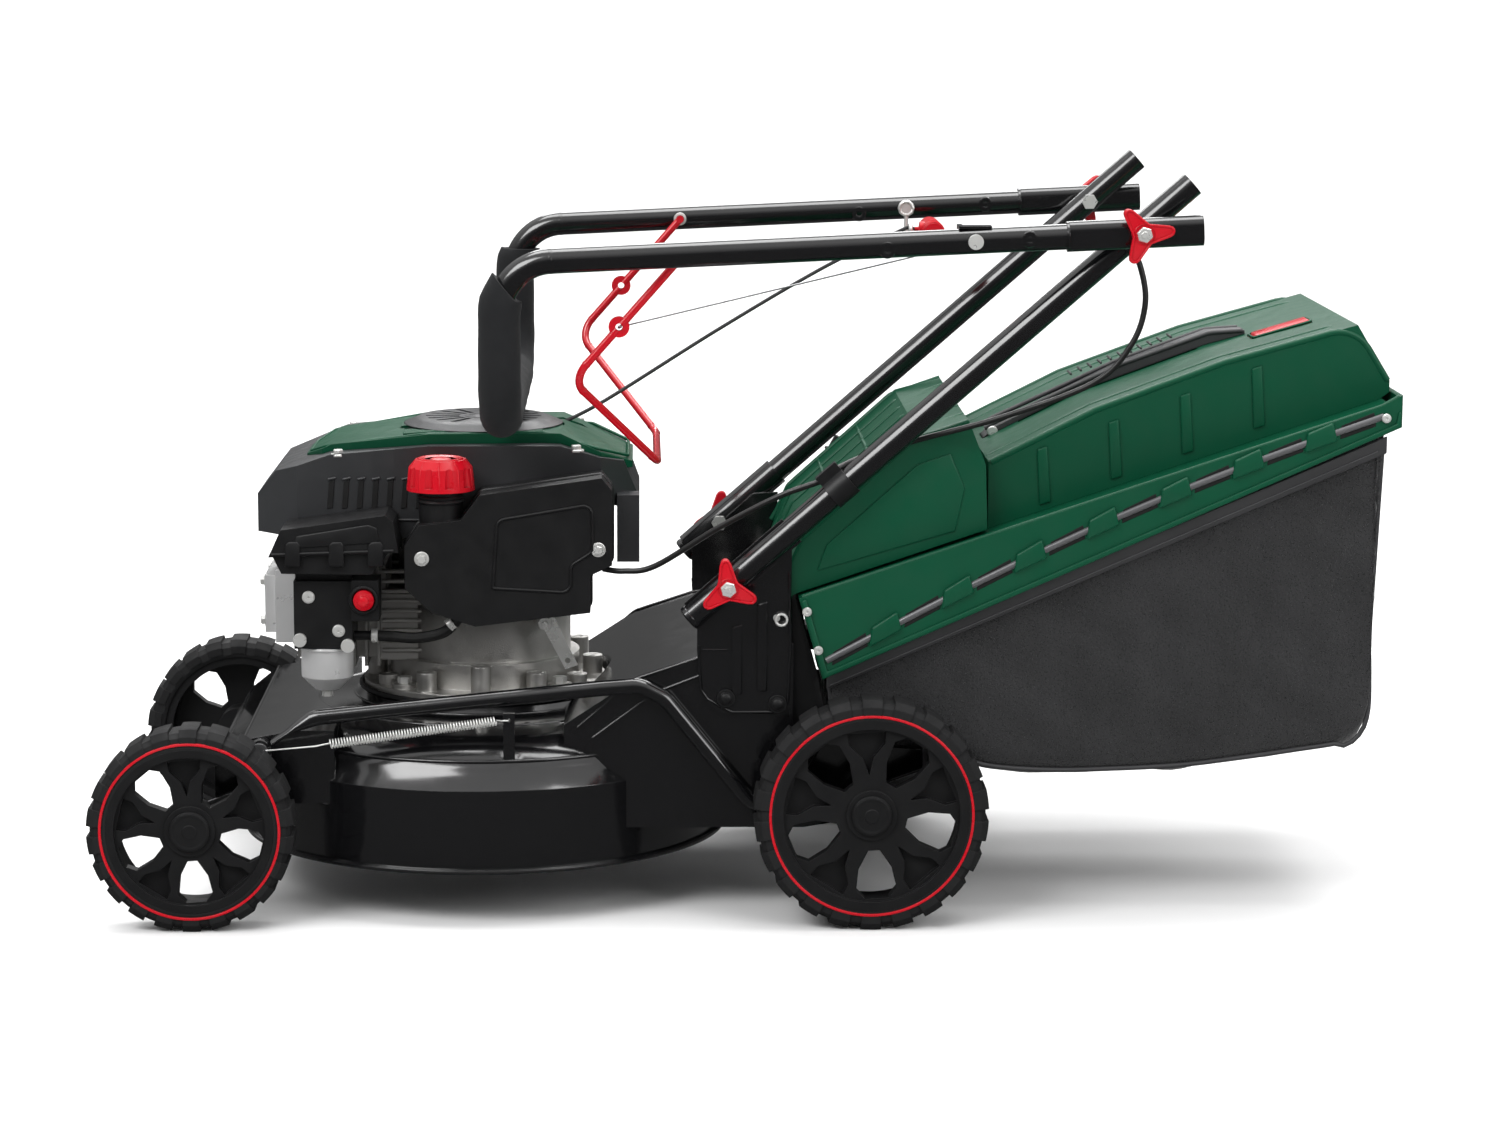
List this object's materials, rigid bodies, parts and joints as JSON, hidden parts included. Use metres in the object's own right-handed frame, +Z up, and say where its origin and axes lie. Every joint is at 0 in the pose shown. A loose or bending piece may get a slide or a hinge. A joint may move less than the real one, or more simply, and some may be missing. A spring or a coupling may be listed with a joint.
{
  "type": "push lawn mower",
  "caption": "Petrol push lawn mower with pressed deck, recoil-start engine, ribbed wheels, fold-down tube handle, brake bail and rear cloth grass bag.",
  "frame": {"origin": "middle of the object's plan at ground level", "axes": "+X from the front wheels back to the grass bag, +Z up, Y across from the left wheels (-Y) to the right wheels"},
  "size_m": [1.1329, 0.469, 0.6508],
  "materials": {
    "deck_paint": "gloss",
    "tube_paint": "gloss",
    "zinc": "bright zinc",
    "black_plastic": "fine grain",
    "dark_plastic": "satin",
    "green_plastic": "satin gloss",
    "red_plastic": "gloss",
    "red_paint": "gloss",
    "cast_alloy": "sand cast",
    "silver_plastic": "satin",
    "iron": "as cast",
    "shaft_steel": "turned",
    "blade_steel": "satin",
    "tyre": "matt",
    "rim_plastic": "satin",
    "cable": "smooth",
    "foam": "closed-cell foam",
    "cord": "braided",
    "mesh_cloth": "open mesh",
    "white_ceramic": "glazed"
  },
  "bodies": {
    "chassis": {"deck": "deck_paint", "rear_housing": "deck_paint", "handle_brackets": "deck_paint", "black_fittings": "black_plastic", "lower_tubes": "tube_paint", "zinc_fasteners": "zinc", "brake_cable_lower": "cable", "crankcase": "cast_alloy", "valve_cover": "silver_plastic", "shroud": "dark_plastic", "shroud_trim": "green_plastic", "recoil_cover": "dark_plastic", "muffler": "iron", "spark_plug": "white_ceramic", "fuel_tank": "black_plastic", "air_filter": "black_plastic", "carburettor": "black_plastic", "float_bowl": "silver_plastic", "fuel_hose": "cable", "height_spring": "zinc", "starter_rope": "cord"},
    "crank": {"crankshaft": "shaft_steel", "flywheel": "iron", "blade_adapter": "iron", "blade": "blade_steel"},
    "starter_pulley": {"starter_pulley": "silver_plastic"},
    "fuel_cap": {"fuel_cap": "red_plastic"},
    "primer_bulb": {"primer_bulb": "red_plastic"},
    "governor_lever": {"governor_lever": "zinc"},
    "dipstick": {"dipstick": "black_plastic"},
    "front_axle": {"front_axle": "shaft_steel"},
    "rear_axle": {"rear_axle": "shaft_steel"},
    "height_link": {"height_link": "deck_paint"},
    "height_lever": {"height_lever": "zinc", "lever_grip": "black_plastic"},
    "wheel_front_left": {"rim_front_left": "rim_plastic", "tyre_front_left": "tyre"},
    "wheel_front_right": {"rim_front_right": "rim_plastic", "tyre_front_right": "tyre"},
    "wheel_rear_left": {"rim_rear_left": "rim_plastic", "tyre_rear_left": "tyre"},
    "wheel_rear_right": {"rim_rear_right": "rim_plastic", "tyre_rear_right": "tyre"},
    "knob_lower_left": {"knob_lower_left": "red_plastic"},
    "knob_lower_right": {"knob_lower_right": "red_plastic"},
    "knob_upper_left": {"knob_upper_left": "red_plastic"},
    "knob_upper_right": {"knob_upper_right": "red_plastic"},
    "upper_handle": {"upper_handle": "tube_paint", "foam_grip": "foam", "handle_fittings": "zinc", "brake_cable_upper": "cable"},
    "bail": {"bail": "red_paint", "brake_wire": "shaft_steel"},
    "starter_grip": {"starter_grip": "red_plastic"},
    "discharge_flap": {"discharge_flap": "green_plastic"},
    "grass_bag": {"bag_lid": "green_plastic", "lid_crown": "green_plastic", "bag_fabric": "mesh_cloth", "bag_handle": "dark_plastic"},
    "fill_indicator": {"fill_indicator": "red_plastic"}
  },
  "joints": [
    {"name": "crank_spin", "type": "hinge", "parent": "chassis", "child": "crank", "pos_m": [-0.2325, 0, 0.18], "axis": [0, 0, 1], "continuous": true},
    {"name": "starter_pulley_spin", "type": "hinge", "parent": "chassis", "child": "starter_pulley", "pos_m": [-0.2325, 0, 0.39], "axis": [0, 0, 1], "range_deg": [0, 690]},
    {"name": "fuel_cap_turn", "type": "hinge", "parent": "chassis", "child": "fuel_cap", "pos_m": [-0.2655, -0.122, 0.38], "axis": [0, 0, 1], "range_deg": [0, 90]},
    {"name": "primer_press", "type": "slide", "parent": "chassis", "child": "primer_bulb", "axis": [0, 1, 0], "range_m": [0, 0.0028], "stiffness_N_per_m": 800},
    {"name": "governor_swing", "type": "hinge", "parent": "chassis", "child": "governor_lever", "pos_m": [-0.1755, -0.09, 0.246], "axis": [0, 1, 0], "range_deg": [-10, 10]},
    {"name": "dipstick_turn", "type": "hinge", "parent": "chassis", "child": "dipstick", "pos_m": [-0.1775, 0.084, 0.27], "axis": [0, 0, 1], "range_deg": [0, 90]},
    {"name": "rear_axle_swing", "type": "hinge", "parent": "chassis", "child": "rear_axle", "pos_m": [0.16488, 0, 0.12202], "axis": [0, 1, 0], "range_deg": [-26, 26], "deforming": ["height_spring"]},
    {"name": "front_axle_swing", "type": "hinge", "parent": "chassis", "child": "front_axle", "pos_m": [-0.42112, 0, 0.10952], "axis": [0, 1, 0], "range_deg": [-26, 26]},
    {"name": "height_link_pivot", "type": "hinge", "parent": "rear_axle", "child": "height_link", "pos_m": [0.16488, -0.181, 0.16202], "axis": [0, 1, 0], "range_deg": [-26, 26]},
    {"name": "height_lever_swing", "type": "hinge", "parent": "chassis", "child": "height_lever", "pos_m": [0.0305, 0.188, 0.225], "axis": [0, 1, 0], "range_deg": [-12, 12]},
    {"name": "wheel_front_left_spin", "type": "hinge", "parent": "front_axle", "child": "wheel_front_left", "pos_m": [-0.4775, -0.2, 0.089], "axis": [0, 1, 0], "continuous": true},
    {"name": "wheel_front_right_spin", "type": "hinge", "parent": "front_axle", "child": "wheel_front_right", "pos_m": [-0.4775, 0.2, 0.089], "axis": [0, 1, 0], "continuous": true},
    {"name": "wheel_rear_left_spin", "type": "hinge", "parent": "rear_axle", "child": "wheel_rear_left", "pos_m": [0.1085, -0.2, 0.1015], "axis": [0, 1, 0], "continuous": true},
    {"name": "wheel_rear_right_spin", "type": "hinge", "parent": "rear_axle", "child": "wheel_rear_right", "pos_m": [0.1085, 0.2, 0.1015], "axis": [0, 1, 0], "continuous": true},
    {"name": "knob_lower_left_turn", "type": "hinge", "parent": "chassis", "child": "knob_lower_left", "pos_m": [-0.0152, -0.2, 0.29538], "axis": [0, 1, 0], "continuous": true},
    {"name": "knob_lower_right_turn", "type": "hinge", "parent": "chassis", "child": "knob_lower_right", "pos_m": [-0.0152, 0.2, 0.29538], "axis": [0, 1, 0], "continuous": true},
    {"name": "knob_upper_left_turn", "type": "hinge", "parent": "chassis", "child": "knob_upper_left", "pos_m": [0.33414, -0.225, 0.60228], "axis": [0, 1, 0], "continuous": true},
    {"name": "knob_upper_right_turn", "type": "hinge", "parent": "chassis", "child": "knob_upper_right", "pos_m": [0.33414, 0.225, 0.60228], "axis": [0, 1, 0], "continuous": true},
    {"name": "handle_fold", "type": "hinge", "parent": "chassis", "child": "upper_handle", "pos_m": [0.33414, 0, 0.60228], "axis": [0, 1, 0], "range_deg": [0, 141], "deforming": ["starter_rope", "brake_cable_lower"]},
    {"name": "brake_bail", "type": "hinge", "parent": "upper_handle", "child": "bail", "pos_m": [-0.0529, 0, 0.58335], "axis": [0, 1, 0], "range_deg": [0, 34], "stiffness_Nm_per_rad": 0.8, "springref_deg": -28.65, "deforming": ["brake_wire"]},
    {"name": "starter_pull", "type": "slide", "parent": "upper_handle", "child": "starter_grip", "axis": [-0.5, 0, 0.866], "range_m": [0, 0.6]},
    {"name": "flap_lift", "type": "hinge", "parent": "chassis", "child": "discharge_flap", "pos_m": [0.0275, 0, 0.265], "axis": [0, -1, 0], "range_deg": [0, 45]},
    {"name": "bag_unhook", "type": "slide", "parent": "chassis", "child": "grass_bag", "axis": [1, 0, 0], "range_m": [0, 0.3]},
    {"name": "indicator_lift", "type": "hinge", "parent": "grass_bag", "child": "fill_indicator", "pos_m": [0.4565, -0.043, 0.494], "axis": [0, -1, 0], "range_deg": [0, 20]}
  ],
  "couplings": [
    {"joint": "front_axle_swing", "follows": "rear_axle_swing", "ratio": 1},
    {"joint": "height_link_pivot", "follows": "rear_axle_swing", "ratio": -1},
    {"joint": "height_lever_swing", "follows": "rear_axle_swing", "ratio": 0.45},
    {"joint": "starter_pulley_spin", "follows": "starter_pull", "rad_per_m": 20}
  ]
}
